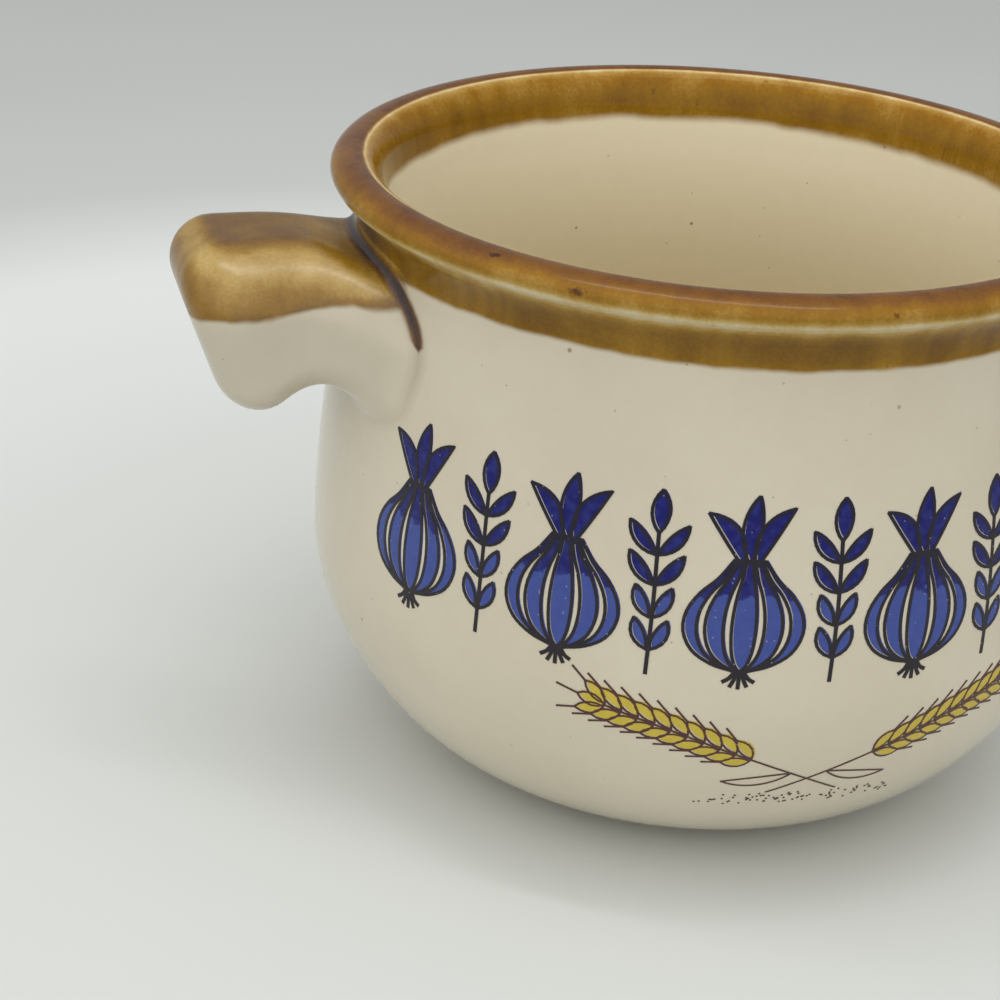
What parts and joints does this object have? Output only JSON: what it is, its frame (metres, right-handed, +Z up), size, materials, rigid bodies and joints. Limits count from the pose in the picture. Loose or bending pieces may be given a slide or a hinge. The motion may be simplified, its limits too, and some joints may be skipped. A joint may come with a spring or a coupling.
{
  "type": "soup crock",
  "caption": "Round-bellied glazed stoneware soup crock with a rolled brown lip, a stubby lug handle and a low foot ring, for baking and serving a portion of onion soup.",
  "frame": {"origin": "on the bowl's axis, at the underside of the foot ring, level with the table", "axes": "+Z up along the bowl's axis; the handle points along -X; the decorated front faces -Y"},
  "size_m": [0.1248, 0.105, 0.0825],
  "materials": {
    "stoneware": "bare fired clay, matt and slightly gritty",
    "slip": "bare fired slip, matt",
    "cream_glaze": "glossy ivory glaze with fine brown specks",
    "brown_glaze": "glossy honey-brown glaze, darker where it pools"
  },
  "bodies": {
    "root": {"clay_body": "stoneware", "handle": "stoneware", "luting_slip": "slip", "rim_glaze": "brown_glaze", "handle_glaze": "brown_glaze", "outer_glaze": "cream_glaze", "inner_glaze": "cream_glaze", "handle_base_glaze": "cream_glaze"}
  },
  "joints": []
}
